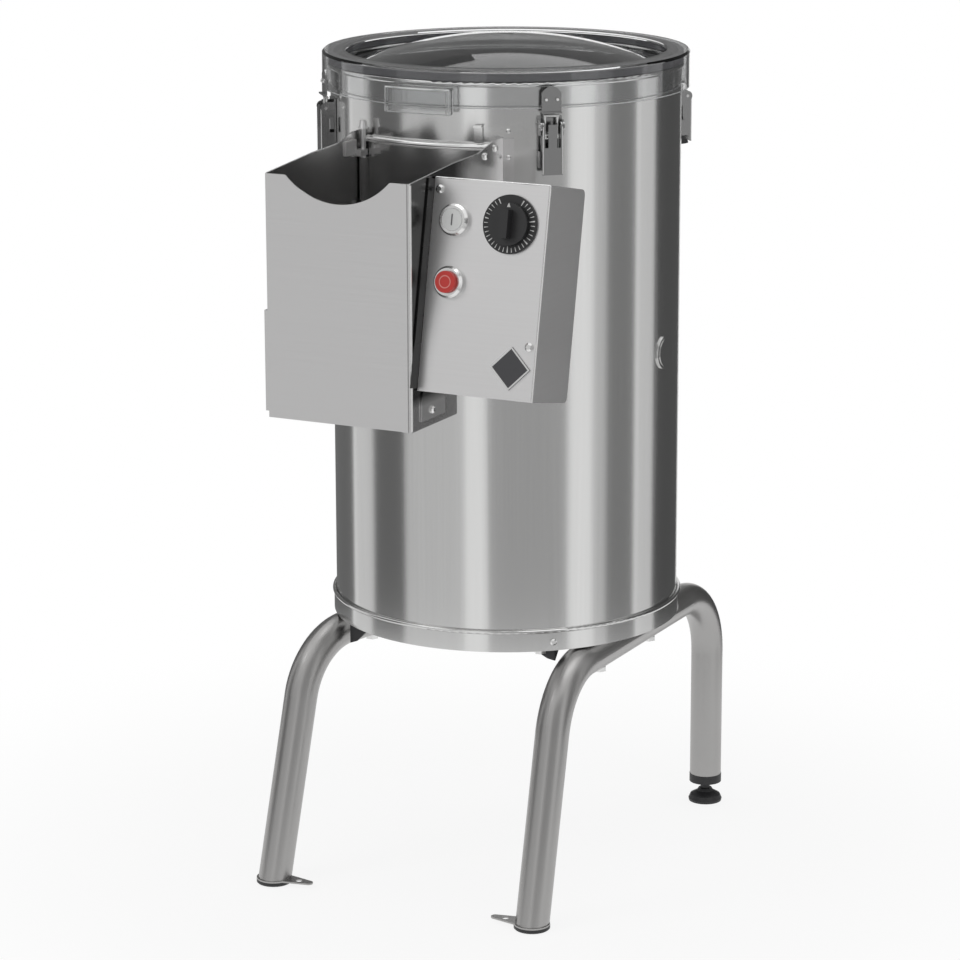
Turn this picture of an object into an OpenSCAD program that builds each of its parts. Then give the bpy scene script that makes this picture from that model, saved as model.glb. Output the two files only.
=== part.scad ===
// Floor-standing potato peeler: a drum with a turning abrasive disc on a tubular stand,
// with a discharge chute, a control box, a clamped clear lid and a belt drive below the chamber.
// Z is up, the floor is Z = 0 and the chute faces -Y. Sizes are millimetres.

/* [Drum] */
// Outer radius of the drum
drum_r = 175; // [165:1:185]
// Thickness of the drum and chute sheet
sheet = 1.5; // [1:0.1:2]
// Height of the base ring's lower edge above the floor
base_h = 260; // [240:1:300]
// Height of the drum from the ring's lower edge to its rim
drum_h = 560; // [540:1:600]
// Height of the base ring
ring_h = 22; // [18:1:30]

/* [Lid] */
// Outer radius of the clear lid
lid_r = 183; // [181:0.5:185]
// Height of the lid's edge above the drum rim
lid_rise = 13.7; // [12:0.1:18]
// Depth of the lid's skirt
skirt_h = 36; // [30:0.5:40]
// Rise of the domed middle above the recess
dome_h = 28; // [18:1:34]

/* [Chute] */
// Width of the chute over its walls
chute_w = 152; // [144:1:156]
// Distance of the chute's front from the drum axis
chute_reach = 347; // [330:1:360]
// Height of the chute's front plate
chute_h = 231; // [220:1:240]
// Depth of the finger scoop in the front plate
scoop_d = 24; // [15:1:30]

/* [Control box] */
// Width of the control box
box_w = 118; // [112:1:126]
// Height of the control box along its slope
box_h = 197; // [185:1:205]
// Depth of the control box
box_d = 73; // [66:1:76]
// Lean of the control box from the vertical, in degrees
box_lean = 11.4; // [9:0.2:13]
// Diameter of the timer's dial ring
dial_d = 54; // [48:1:58]
// Diameter of a push-button bezel
bezel_d = 29.5; // [27:0.5:31]

/* [Stand] */
// Outer diameter of the stand's tubes
tube_d = 33.7; // [30:0.1:35]
// Distance of the side tubes from the drum axis
stand_x = 134; // [126:1:138]
// Distance of the front feet in front of the axis
foot_front = 214; // [204:1:224]
// Distance of the rear foot behind the axis
foot_rear = 214; // [204:1:220]

/* [Hidden] */
$fn = 64;

// The drum axis stands here, so that the origin is the middle of the whole outline
axis_x = -6.4;
axis_y = 59.65;

// Hair gap where round pieces nest in or on each other
nest_gap = 0.12;

// Heights in the drum, from the floor
rim_z = base_h + drum_h;
lid_z = rim_z + lid_rise;
disc_z = base_h + 318;
floor_z = base_h + 292;
plate_z = base_h + 190;
pulley_z = plate_z + 28;

// Discharge opening in the drum wall, and the door over it
port_w = 116;
port_lo = disc_z + 14;
port_hi = base_h + 490;
door_lo = port_lo - 6;
door_top = base_h + 501;
hinge_x = -69.5;
hinge_y = -170;
pin_r = 2.5;

// Drive: the motor hangs beside the bearing housing, towards the front right
motor_x = 52;
motor_y = -74;
motor_r = 58;
shaft_r = 10;
big_r = 62;
small_r = 16;

// Chute: bottom edge, wall top at the drum and the foot of the sloping floor
chute_lo = base_h + 261;
chute_top = chute_lo + chute_h;
wall_x = chute_w / 2;
slope_y = -257;
slope_z = chute_lo + 24;
slope_rise = 45;

// Control box: top front edge, nearest the chute
box_x = wall_x + 1.8;
box_y = -301;
box_z = base_h + 493;
button_u = 24;
button_rows = [38, 95];
dial_u = 80.5;
badge_at = [93, 168];
badge_side = 28;
cover_screw_at = [[6, 11], [110, 147]];

// Small screws: on the chute's wall, up its flange on the drum, and round the base ring
wall_screw_at = [[-197, 497], [-176, 502], [-310, 276]];
flange_screw_z = [491, 516];
flange_screw_turn = -62.8;
ring_screw_turns = [-48.5, 71.5, 191.5];
screw_r = 1.8;
rivet_r = 1.2;
screw_play = 0.15;

// Latches: angles round the drum, lever pivot, bail pivot and hook bar heights
latch_angles = [310, 40, 130, 220];
pivot_r = drum_r + 10;
pivot_z = base_h + 521;
bail_r = pivot_r - 2;
bail_z = pivot_z - 10;
bar_z = base_h + 530.9;
wire_y = 6;
strike_lo = base_h + 533.4;
strike_rivet_r = 1.9;

// Stand: tube centre height under the ring, bend radius and lean of the front legs
tube_r = tube_d / 2;
tube_z = base_h - tube_r;
bend_r = 74;
front_lean = 13.5;
left_x = 158;
left_turn = 12;
// Front feet: black pads on the floor, tabs over them, and the tubes cut level on the tabs
pad_h = 4;
pad_r = tube_r + 1.15;
tab_t = 1.6;
tab_reach = 40;
bolt_at = [[stand_x, -60], [stand_x, 60], [-126, -60], [-110, 20]];
bolt_r = 3.5;
foot_drop = 31;
tube_wall = 1.6;
// The straights are a hair slimmer than the bends, and start this far inside them
bend_swell = 0.05;
bend_lap = 1.5;

module at_axis() {
    translate([axis_x, axis_y, 0]) children();
}

// A tube wall between two radii
module ring(r_out, r_in, h) {
    difference() {
        cylinder(r = r_out, h = h, $fn = 128);
        translate([0, 0, -1]) cylinder(r = r_in, h = h + 2, $fn = 128);
    }
}

// A ring of round section
module round_ring(r_mid, r_sec) {
    rotate_extrude($fn = 128) translate([r_mid, 0]) circle(r = r_sec, $fn = 24);
}

// A length of curved sheet between two angles
module arc_sheet(r_in, t, h, a_from, a_to) {
    rotate([0, 0, a_from]) rotate_extrude(angle = a_to - a_from, $fn = 128)
        translate([r_in, 0]) square([t, h]);
}

// A wedge of space in front of the drum, as wide as the discharge opening
module front_slot(width, lo, hi) {
    translate([-width / 2, -drum_r - 20, lo]) cube([width, 60, hi - lo]);
}

// A plate with rounded corners in the XY plane
module round_plate(w, d, h, r) {
    linear_extrude(h) round_outline(w, d, r);
}

module round_outline(w, d, r) {
    translate([r, 0]) square([w - 2 * r, d]);
    translate([0, r]) square([w, d - 2 * r]);
    for (x = [r, w - r], y = [r, d - r])
        translate([x, y]) circle(r = r, $fn = 32);
}

// A pan-head screw along +Z with its head's underside at Z = 0
module pan_screw(head_r, shank_r, length) {
    cylinder(r = head_r, h = head_r * 0.35, $fn = 32);
    translate([0, 0, head_r * 0.35 - 0.01]) intersection() {
        cylinder(r1 = head_r, r2 = head_r * 0.55, h = head_r * 0.35, $fn = 32);
        cylinder(r = head_r, h = head_r, $fn = 32);
    }
    translate([0, 0, -length]) cylinder(r = shank_r, h = length + 0.1, $fn = 24);
}

// Frame of the control box: X across, Y into the box, Z up its slope from the top edge
module at_box() {
    at_axis() translate([box_x, box_y, box_z]) rotate([-box_lean, 0, 0]) children();
}

// Frame of a latch: X outwards, Y along the drum, Z up
module at_latch(i) {
    at_axis() rotate([0, 0, latch_angles[i]]) children();
}

// ---- drum ----

module drum_shell() {
    color("silver") difference() {
        drilled_drum();
        conduit_run(9.3);
    }
}

module drilled_drum() {
    at_axis() difference() {
        union() {
            translate([0, 0, base_h + 2]) ring(drum_r, drum_r - sheet, drum_h - 2);
            translate([0, 0, rim_z]) round_ring(drum_r - 1, 3);
        }
        front_slot(port_w, port_lo, port_hi);
        inlet_hole();
        screw_bores();
        rotate([0, 0, drain_angle]) translate([drum_r - 20, 0, drain_z])
            rotate([0, 90, 0]) cylinder(r = 25.2, h = 40);
        translate([drum_r - 20, 0, plug_z]) rotate([0, 90, 0]) cylinder(r = 14.2, h = 40);
        rotate([0, 0, gland_angle]) translate([drum_r - 20, 0, gland_z])
            rotate([0, 90, 0]) cylinder(r = 10.2, h = 40);
    }
}

module inlet_hole() {
    rotate([0, 0, inlet_angle]) translate([drum_r - 20, 0, inlet_z])
        rotate([0, 90, 0]) cylinder(r = 8.2, h = 40);
}

// Rolled ring round the drum's foot, with an inner flange that the stand bolts to
module base_ring() {
    color("lightgray") at_axis() difference() {
        union() {
            translate([0, 0, base_h]) ring(drum_r + 2.6, drum_r + nest_gap, ring_h - 2);
            translate([0, 0, base_h + ring_h - 2]) round_ring(drum_r + 2 + nest_gap, 2);
            translate([0, 0, base_h]) ring(drum_r + 1, 128, 2 - nest_gap);
        }
        screw_bores();
        bolt_bores();
    }
}

module rim_gasket() {
    color("dimgray") at_axis() translate([0, 0, rim_z + 3]) ring(drum_r + 1.5, drum_r - 3.5, lid_rise - 6.3);
}

// Carborundum lining of the peeling chamber, cut away at the discharge opening
module abrasive_liner() {
    color("darkslategray") at_axis() difference() {
        translate([0, 0, disc_z - 4]) ring(drum_r - sheet - nest_gap, drum_r - sheet - 4, 172);
        front_slot(port_w + 4, port_lo - 2, port_hi + 2);
        inlet_hole();
    }
}

module chamber_floor() {
    color("silver") at_axis() difference() {
        union() {
            translate([0, 0, floor_z]) cylinder(r = drum_r - sheet - nest_gap, h = 3, $fn = 128);
            translate([0, 0, floor_z]) ring(drum_r - sheet - nest_gap, drum_r - sheet - 2, 14);
        }
        translate([0, 0, floor_z - 1]) cylinder(r = 30, h = 6);
        rotate([0, 0, drain_angle]) translate([128, 0, floor_z - 1]) cylinder(r = 22 + nest_gap, h = 6);
    }
}

// ---- water, drain and cable ----

inlet_angle = 61;
inlet_z = base_h + 475;
inlet_reach = 36;
drain_angle = 105;
drain_z = base_h + 262;
gland_angle = 140;
gland_z = base_h + 60;
plug_z = base_h + 281;
conduit_u = 30;
conduit_v = 180;

module inlet_plate() {
    color("gray") at_axis() rotate([0, 0, inlet_angle]) difference() {
        translate([drum_r - 8, -22, inlet_z - 20]) cube([11.5, 44, 40]);
        translate([0, 0, inlet_z - 30]) cylinder(r = drum_r + nest_gap, h = 60, $fn = 128);
        translate([drum_r - 20, 0, inlet_z]) rotate([0, 90, 0]) cylinder(r = 8, h = 40);
    }
}

// Black hose elbow: a stub through the drum wall, a bend and a flared nut facing down
module inlet_elbow() {
    bend = drum_r + inlet_reach;
    color([0.12, 0.12, 0.13]) at_axis() rotate([0, 0, inlet_angle]) difference() {
        union() {
            translate([drum_r + 3.6, 0, inlet_z]) rotate([0, 90, 0]) cylinder(r = 10, h = inlet_reach - 3.6);
            translate([drum_r - 8, 0, inlet_z]) rotate([0, 90, 0]) cylinder(r = 7.9, h = inlet_reach);
            translate([bend, 0, inlet_z]) sphere(r = 10.5, $fn = 48);
            translate([bend, 0, inlet_z - 14]) cylinder(r1 = 14.5, r2 = 10.5, h = 14);
        }
        translate([drum_r - 10, 0, inlet_z]) rotate([0, 90, 0]) cylinder(r = 4.5, h = inlet_reach + 8);
        translate([bend, 0, inlet_z - 15]) cylinder(r = 9, h = 11);
        translate([bend, 0, inlet_z - 15]) cylinder(r = 4.4, h = 15);
    }
}

module drain_outlet() {
    color("silver") at_axis() rotate([0, 0, drain_angle]) {
        difference() {
            union() {
                translate([128, 0, drain_z]) rotate([0, 90, 0]) cylinder(r = 25, h = 88);
                translate([128, 0, drain_z]) cylinder(r = 22, h = floor_z + 3 - drain_z);
            }
            translate([131, 0, drain_z]) rotate([0, 90, 0]) cylinder(r = 23.4, h = 90);
            translate([128, 0, drain_z]) cylinder(r = 20.4, h = 60);
        }
    }
}

module side_plug() {
    color([0.45, 0.45, 0.46]) at_axis() {
        translate([drum_r - 1.3, 0, plug_z]) rotate([0, 90, 0]) cylinder(r = 14, h = 3.3);
        translate([drum_r - 2, 0, plug_z]) intersection() {
            rotate([0, 90, 0]) cylinder(r = 17, h = 4);
            translate([2 - drum_r, 0, -40]) ring(drum_r + 1.8, drum_r, 80);
        }
    }
}

module cable_gland() {
    color([0.15, 0.15, 0.16]) at_axis() rotate([0, 0, gland_angle]) difference() {
        union() {
            translate([drum_r - 12, 0, gland_z]) rotate([0, 90, 0]) cylinder(r = 10, h = 14);
            translate([drum_r + 0.4, 0, gland_z]) rotate([0, 90, 0]) cylinder(r = 14, h = 7, $fn = 6);
            translate([drum_r + 7.3, 0, gland_z]) rotate([0, 90, 0]) cylinder(r1 = 12, r2 = 7.5, h = 14);
        }
        translate([drum_r - 13, 0, gland_z]) rotate([0, 90, 0]) cylinder(r = 4.5, h = 40);
    }
}

// ---- drive ----

module bearing_housing() {
    color("gray") at_axis() {
        difference() {
            union() {
                translate([0, 0, pulley_z + 20]) cylinder(r = 29, h = floor_z + 8 - pulley_z - 20);
                translate([0, 0, floor_z - 6]) cylinder(r = 46, h = 6);
            }
            translate([0, 0, pulley_z + 10]) cylinder(r = 21, h = 200);
        }
    }
}

module bearings() {
    color("darkgray") at_axis() for (z = [pulley_z + 22, floor_z - 14])
        translate([0, 0, z]) ring(20.9, shaft_r + 0.06, 14);
}

module shaft_seal() {
    color([0.2, 0.2, 0.2]) at_axis() translate([0, 0, floor_z + 0.5]) ring(20.9, shaft_r + 0.08, 7);
}

module motor_plate() {
    color("darkgray") at_axis() difference() {
        translate([0, 0, plate_z]) cylinder(r = drum_r - sheet - 0.2, h = 4, $fn = 128);
        translate([motor_x, motor_y, plate_z - 1]) cylinder(r = 22, h = 6);
        translate([-60, 60, plate_z - 1]) cylinder(r = 34, h = 6);
        rotate([0, 0, drain_angle]) translate([128, 0, plate_z - 1]) cylinder(r = 30, h = 6);
        translate([108, motor_y - 20, plate_z - 1]) cylinder(r = 12, h = 6);
    }
}

module motor_housing() {
    color("slategray") at_axis() translate([motor_x, motor_y, 0]) difference() {
        union() {
            translate([0, 0, plate_z - 10]) cylinder(r = 66, h = 9.8);
            translate([0, 0, plate_z - 150]) cylinder(r = motor_r - 4, h = 141);
            translate([0, 0, plate_z - 162]) cylinder(r = motor_r - 8, h = 13);
            for (a = [0 : 20 : 340]) rotate([0, 0, a])
                translate([motor_r - 6, -1.2, plate_z - 140]) cube([6, 2.4, 122]);
        }
        translate([0, 0, plate_z - 152]) cylinder(r = 7.6, h = 160);
        translate([0, 0, plate_z - 130]) cylinder(r = 38, h = 100);
    }
}

module terminal_box() {
    color([0.18, 0.18, 0.2]) at_axis()
        translate([motor_x - motor_r - 34, motor_y - 28, plate_z - 110]) cube([34, 56, 70]);
}

// V-belt round both pulleys, as one loop with straight runs
module drive_belt() {
    color([0.1, 0.1, 0.1]) at_axis() translate([0, 0, pulley_z - 3]) difference() {
        belt_outline(6, 3);
        translate([0, 0, -1]) belt_outline(8, -1.5);
    }
}

module belt_outline(h, grow) {
    linear_extrude(h) hull() {
        circle(r = big_r + grow, $fn = 96);
        translate([motor_x, motor_y]) circle(r = small_r + grow, $fn = 48);
    }
}

module bottom_cover() {
    color("gray") at_axis() difference() {
        translate([0, 0, base_h + 2.3]) cylinder(r = 150, h = 1.5, $fn = 128);
        for (a = [0 : 30 : 330]) rotate([0, 0, a])
            translate([70, -4, base_h]) cube([55, 8, 6]);
        bolt_bores();
    }
}

module main_shaft() {
    color("lightgray") at_axis() {
        translate([0, 0, pulley_z - 14]) cylinder(r = shaft_r, h = disc_z + 22 - pulley_z + 14);
    }
}

// Turning floor of the chamber: a dished plate with three raised waves and abrasive grit
module peeling_disc() {
    color("dimgray") at_axis() difference() {
        union() {
            translate([0, 0, disc_z]) cylinder(r = 160, h = 8, $fn = 128);
            translate([0, 0, disc_z - 12]) cylinder(r = 26, h = 13);
            for (a = [0, 120, 240]) rotate([0, 0, a]) intersection() {
                translate([40, 0, disc_z + 7]) rotate([0, 90, 0]) scale([0.5, 1, 1])
                    cylinder(r = 26, h = 112, $fn = 48);
                translate([0, -40, disc_z + 7]) cube([158, 80, 20]);
            }
        }
        translate([0, 0, disc_z - 13]) cylinder(r = shaft_r, h = 40);
    }
}

module disc_nut() {
    color("silver") at_axis() difference() {
        union() {
            translate([0, 0, disc_z + 8.1]) cylinder(r = 24, h = 12);
            translate([0, 0, disc_z + 20]) cylinder(r1 = 24, r2 = 15, h = 7);
        }
        translate([0, 0, disc_z + 8]) cylinder(r = shaft_r, h = 14.2);
    }
}

module pulley(r_out, h, bore, groove) {
    difference() {
        cylinder(r = r_out, h = h);
        translate([0, 0, -1]) cylinder(r = bore, h = h + 2);
        translate([0, 0, h / 2]) rotate_extrude($fn = 96) polygon([[r_out + 1, groove / 2 + 1.6],
            [r_out - 5, groove / 2 - 1], [r_out - 5, 1 - groove / 2], [r_out + 1, -groove / 2 - 1.6]]);
    }
}

module large_pulley() {
    color("gray") at_axis() translate([0, 0, pulley_z - 9]) pulley(big_r + 3, 18, shaft_r, 9);
}

module motor_shaft() {
    color("lightgray") at_axis() translate([motor_x, motor_y, 0]) {
        translate([0, 0, plate_z - 148]) cylinder(r = 7.5, h = pulley_z + 14 - plate_z + 148);
        translate([0, 0, plate_z - 120]) cylinder(r = 37, h = 80);
    }
}

module small_pulley() {
    color("gray") at_axis() translate([motor_x, motor_y, pulley_z - 9])
        pulley(small_r + 3, 18, 7.5, 9);
}

// ---- chute and discharge door ----

// Outline of a chute wall in the plane of Y and Z
module wall_outline() {
    polygon([[-chute_reach, chute_lo], [slope_y, chute_lo], [slope_y, slope_z], [-150, slope_z + slope_rise],
        [-150, base_h + 510], [-180, base_h + 509], [-212, base_h + 501], [-262, base_h + 499],
        [-chute_reach, chute_top]]);
}

module chute_wall(x) {
    translate([x, 0, 0]) rotate([90, 0, 90]) linear_extrude(sheet) wall_outline();
}

module chute() {
    scoop_w = 109;
    scoop_r = (pow(scoop_w / 2, 2) + pow(scoop_d, 2)) / (2 * scoop_d);
    color("silver") at_axis() difference() {
        union() {
            chute_wall(-wall_x);
            chute_wall(wall_x - sheet);
            translate([-wall_x, -chute_reach, chute_lo]) cube([chute_w, sheet, chute_h]);
            translate([wall_x - 10, -chute_reach - 1.2, chute_lo]) cube([6.4, 1.3, chute_h]);
            translate([-wall_x - 3.4, -chute_reach, chute_lo + 6]) cube([3.5, 24, 96]);
            translate([-wall_x, slope_y - sheet, chute_lo]) cube([chute_w, sheet, slope_z - chute_lo]);
            slope_plate();
            for (side = [-1, 1]) wall_flange(side);
        }
        translate([0, 0, base_h]) cylinder(r = drum_r + nest_gap, h = drum_h, $fn = 128);
        translate([0, -chute_reach - 5, chute_top - scoop_d + scoop_r]) rotate([-90, 0, 0])
            cylinder(r = scoop_r, h = 12, $fn = 96);
        screw_bores();
    }
}

module slope_plate() {
    translate([-wall_x, 0, 0]) rotate([90, 0, 90]) linear_extrude(chute_w)
        polygon([[slope_y - sheet, slope_z - 1], [slope_y - sheet, slope_z], [-150, slope_z + slope_rise],
            [-150, slope_z + slope_rise - 2]]);
}

module wall_flange(side) {
    a = acos(wall_x / drum_r);
    width = 3.6;
    at = side > 0 ? -a - 0.3 : a - 180 - width + 0.3;
    low = slope_z + slope_rise;
    translate([0, 0, low]) arc_sheet(drum_r + nest_gap, sheet, base_h + 509 - low, at, at + width);
}

// Screws and rivets on the chute, the box bracket and the drum
module panel_screws() {
    color("white") at_axis() {
        for (yz = wall_screw_at)
            translate([wall_x + (yz[0] < -300 ? 1.5 : 0), yz[0], base_h + yz[1]])
                rotate([0, 90, 0]) pan_screw(3.6, screw_r, 2.8);
        for (z = flange_screw_z) rotate([0, 0, flange_screw_turn])
            translate([drum_r + (z < 500 ? sheet + nest_gap : 0), 0, base_h + z]) rotate([0, 90, 0])
                pan_screw(2.2, rivet_r, 2.6);
        for (a = ring_screw_turns) rotate([0, 0, a])
            translate([drum_r + 2.6, 0, base_h + 9]) rotate([0, 90, 0]) pan_screw(3.4, screw_r, 4);
    }
    color("white") at_box() for (at = cover_screw_at)
        translate([at[0], 0, -at[1]]) rotate([90, 0, 0]) pan_screw(4, 2, 10);
}

// Holes that those screws pass, a little wider than their shanks
module screw_bores() {
    for (yz = wall_screw_at) translate([wall_x - 4, yz[0], base_h + yz[1]])
        rotate([0, 90, 0]) cylinder(r = screw_r + screw_play, h = 9, $fn = 24);
    for (z = flange_screw_z) rotate([0, 0, flange_screw_turn]) translate([drum_r - 4, 0, base_h + z])
        rotate([0, 90, 0]) cylinder(r = rivet_r + screw_play, h = 9, $fn = 24);
    for (a = ring_screw_turns) rotate([0, 0, a]) translate([drum_r - 4, 0, base_h + 9])
        rotate([0, 90, 0]) cylinder(r = screw_r + screw_play, h = 9, $fn = 24);
}

// Bracket on the left wall with the fixed pin that the door turns on
module hinge_bracket() {
    color("lightgray") at_axis() {
        for (z = [door_lo + 6, door_top - 16]) difference() {
            translate([sheet - wall_x, hinge_y - 10, z]) cube([7.9, 14, 6]);
            translate([hinge_x, hinge_y, z - 1]) cylinder(r = pin_r - 0.05, h = 8);
        }
        translate([hinge_x, hinge_y, door_lo + 2]) cylinder(r = pin_r, h = door_top - door_lo + 8);
        translate([hinge_x, hinge_y, door_top + 10]) cylinder(r1 = 4.6, r2 = 3, h = 8);
        translate([sheet - wall_x, hinge_y - 28, door_top - 14]) cube([2, 20, 14]);
    }
}

module door_seal() {
    color([0.25, 0.25, 0.26]) at_axis() difference() {
        translate([0, 0, port_lo - 8]) arc_sheet(drum_r + 0.05, 1.1, port_hi - port_lo + 14, -111, -69);
        front_slot(port_w, port_lo, port_hi);
    }
}

// Curved door with a rolled top lip, knuckles on its left and a pull ear on its right
module discharge_door() {
    reach = drum_r + 1.5;
    color("silver") at_axis() {
        difference() {
            union() {
                translate([0, 0, door_lo]) arc_sheet(reach, sheet, door_top - door_lo, -111.7, -68.5);
                rotate([0, 0, -111.7]) rotate_extrude(angle = 43.2, $fn = 128)
                    translate([reach + 2.6, door_top]) circle(r = 3.6, $fn = 24);
                for (z = [door_lo + 14, door_top - 60]) knuckle(z, 42);
            }
            translate([hinge_x, hinge_y, door_lo - 5]) cylinder(r = pin_r + 0.08, h = 300);
            translate([0, 0, door_top - 5]) cylinder(r = drum_r + 0.4, h = 20, $fn = 128);
        }
        rotate([0, 0, -72]) translate([reach + 0.4, -4, door_top]) cube([2.5, 8, 21]);
        rotate([0, 0, -72]) translate([reach + 0.4, -4, door_top + 19]) cube([9, 8, 2]);
    }
}

module knuckle(z, h) {
    a = atan2(hinge_y, hinge_x);
    translate([hinge_x, hinge_y, z]) cylinder(r = 4.2, h = h);
    rotate([0, 0, a]) translate([drum_r + 1.6, 0, z]) cube([8, 2.2, h]);
}

// ---- control box ----

// Plate on the chute wall that carries the box, with a rounded tab below it
module box_bracket() {
    color("silver") {
        at_box() translate([-1.6, -12, -box_h + 2]) cube([1.4, box_d - 6, box_h - 4]);
        at_axis() difference() {
            translate([wall_x + 0.2, -330, base_h + 268]) difference() {
                cube([1.3, 46, 40]);
                translate([-1, -0.01, 18]) difference() {
                    cube([4, 20, 30]);
                    translate([-1, 20, 0]) rotate([0, 90, 0]) cylinder(r = 20, h = 6);
                }
            }
            screw_bores();
        }
    }
}

module box_back() {
    color("silver") difference() {
        at_box() translate([1.8, box_d - 3.4, 1.8 - box_h]) cube([box_w - 3.6, 1.5, box_h - 3.6]);
        conduit_run(9.1);
    }
}

// Straight run from inside the control box to inside the drum, below the chamber floor
module conduit_run(r) {
    at_box() translate([conduit_u, box_d - 8, -conduit_v]) rotate([-90, 0, 0]) cylinder(r = r, h = 138);
}

// Tray-shaped cover: front, top, bottom and both sides, with rounded rear corners
module box_cover() {
    color("gainsboro") at_box() difference() {
        union() {
            translate([0, 0, -box_h]) rotate([90, 0, 90]) round_plate(box_d, box_h, box_w, 6);
            translate([0, 0, -box_h]) cube([box_w, 8, box_h]);
        }
        translate([1.5, 1.5, 1.5 - box_h]) cube([box_w - 3, box_d, box_h - 3]);
        for (v = button_rows) translate([button_u, -3, -v]) rotate([-90, 0, 0]) cylinder(r = 11.2, h = 8);
        translate([dial_u, -3, -button_rows[0]]) rotate([-90, 0, 0]) cylinder(r = 5, h = 8);
        for (at = cover_screw_at) translate([at[0], -3, -at[1]]) rotate([-90, 0, 0]) cylinder(r = 2.1, h = 8);
    }
}

module badge_plate() {
    color([0.25, 0.25, 0.26]) at_box() translate([badge_at[0], -1.2, -badge_at[1]])
        rotate([0, 45, 0]) translate([-badge_side / 2, 0, -badge_side / 2])
            cube([badge_side, 1.2, badge_side]);
}

module button_bezels() {
    color("silver") at_box() for (v = button_rows) translate([button_u, 0, -v])
        rotate([90, 0, 0]) difference() {
            union() {
                cylinder(r = bezel_d / 2, h = 4);
                translate([0, 0, 4]) cylinder(r1 = bezel_d / 2, r2 = bezel_d / 2 - 2, h = 2.5);
                translate([0, 0, -9]) cylinder(r = 11, h = 10);
                translate([0, 0, -6.5]) cylinder(r = 14, h = 4.8, $fn = 6);
            }
            translate([0, 0, -10]) cylinder(r = 10.3, h = 20);
        }
}

module start_button() {
    color("white") at_box() translate([button_u, 0, -button_rows[0]]) rotate([90, 0, 0]) {
        translate([0, 0, -8]) cylinder(r = 10.1, h = 15);
        translate([0, 0, -14]) cylinder(r = 4, h = 7);
    }
}

module stop_button() {
    color("red") at_box() translate([button_u, 0, -button_rows[1]]) rotate([90, 0, 0]) {
        translate([0, 0, -8]) cylinder(r = 10.1, h = 18.5);
        translate([0, 0, -14]) cylinder(r = 4, h = 7);
    }
}

module contact_blocks() {
    color([0.3, 0.32, 0.35]) at_box() for (v = button_rows)
        translate([button_u - 14, 20, -v - 20]) cube([28, 34, 40]);
}

module timer_dial() {
    color([0.1, 0.1, 0.1]) at_box() translate([dial_u, 0, -button_rows[0]]) rotate([90, 0, 0])
        difference() {
            cylinder(r = dial_d / 2, h = 2.4);
            translate([0, 0, -1]) cylinder(r = 4, h = 5);
        }
}

// Knob: a skirt disc with a grip bar across it and its spindle
module timer_knob() {
    color([0.15, 0.15, 0.15]) at_box() translate([dial_u, 0, -button_rows[0]]) rotate([90, 0, 0]) {
        translate([0, 0, 2.7]) cylinder(r = 19.6, h = 4.3);
        translate([0, 0, -12]) cylinder(r = 3, h = 16);
        translate([-4.2, -13, 6]) cube([8.4, 26, 10]);
    }
}

module timer_body() {
    color("lightgray") at_box() translate([dial_u - 24, 4, -button_rows[0] - 24]) difference() {
        cube([48, 30, 48]);
        translate([24, -1, 24]) rotate([-90, 0, 0]) cylinder(r = 3.1, h = 16);
    }
}

module wire_conduit() {
    color([0.2, 0.2, 0.2]) difference() {
        conduit_run(9);
        at_box() translate([conduit_u, 0, -conduit_v]) rotate([-90, 0, 0]) cylinder(r = 7, h = 300);
    }
}

// ---- lid ----

// Clear cap: skirt, flat rim, step down and a shallow dome
module lid_shell() {
    t = 3;
    recess = lid_z - 14;
    ro = 160;
    rd = 150;
    dome_r = (pow(rd, 2) + pow(dome_h, 2)) / (2 * dome_h);
    color([0.8, 0.85, 0.88]) at_axis() {
        difference() {
            translate([0, 0, lid_z - skirt_h]) ring(lid_r, lid_r - t, skirt_h - 3);
            for (a = latch_angles) rotate([0, 0, a]) strike_rivets(lid_r - 6, strike_rivet_r + screw_play);
        }
        rotate_extrude($fn = 128) polygon([[ro, lid_z - t], [lid_r - t, lid_z - t],
            [lid_r - t, lid_z - 4], [lid_r, lid_z - 4], [lid_r, lid_z - 2], [lid_r - 2, lid_z], [ro, lid_z]]);
        translate([0, 0, recess - t]) ring(ro + t, ro, lid_z - recess + t);
        translate([0, 0, recess - t]) ring(ro + 0.1, rd - 0.5, t);
        intersection() {
            translate([0, 0, recess + dome_h - dome_r]) difference() {
                sphere(r = dome_r, $fn = 160);
                sphere(r = dome_r - t, $fn = 160);
            }
            translate([0, 0, recess - t]) cylinder(r = rd, h = 2 * dome_h, $fn = 128);
        }
    }
}

// Moulded finger grip on the skirt, above the chute
module lid_grip() {
    color([0.8, 0.85, 0.88]) at_axis() difference() {
        translate([0, 0, base_h + 532]) intersection() {
            arc_sheet(lid_r + nest_gap, 10.18, 25, -100.5, -79.5);
            translate([-60, -lid_r - 10, 0]) cube([120, 40, 25]);
        }
        translate([0, 0, base_h + 531]) arc_sheet(lid_r + 1.8, 6.2, 23, -99, -81);
    }
}

// Hook plates riveted to the skirt over each latch
module lid_strikes() {
    color("lightgray") for (i = [0 : 3]) at_latch(i) {
        translate([lid_r + 0.02, -9.5, strike_lo]) cube([1.7, 19, 20]);
        translate([lid_r + 0.02, 0, strike_lo + 16]) intersection() {
            rotate([0, 90, 0]) cylinder(r = 9.5, h = 1.7);
            translate([-1, -10, 0]) cube([4, 20, 10]);
        }
        translate([lid_r + 1.6, -9.5, strike_lo]) cube([3.4, 19, 1.4]);
        strike_rivets(lid_r - 4, strike_rivet_r);
    }
}

// Two rivets through a hook plate and the skirt, from a distance off the drum's axis
module strike_rivets(x, r) {
    for (y = [-5.5, 5.5]) translate([x, y, strike_lo + 13]) rotate([0, 90, 0])
        cylinder(r = r, h = 6.8, $fn = 24);
}

// ---- latches ----

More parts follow.
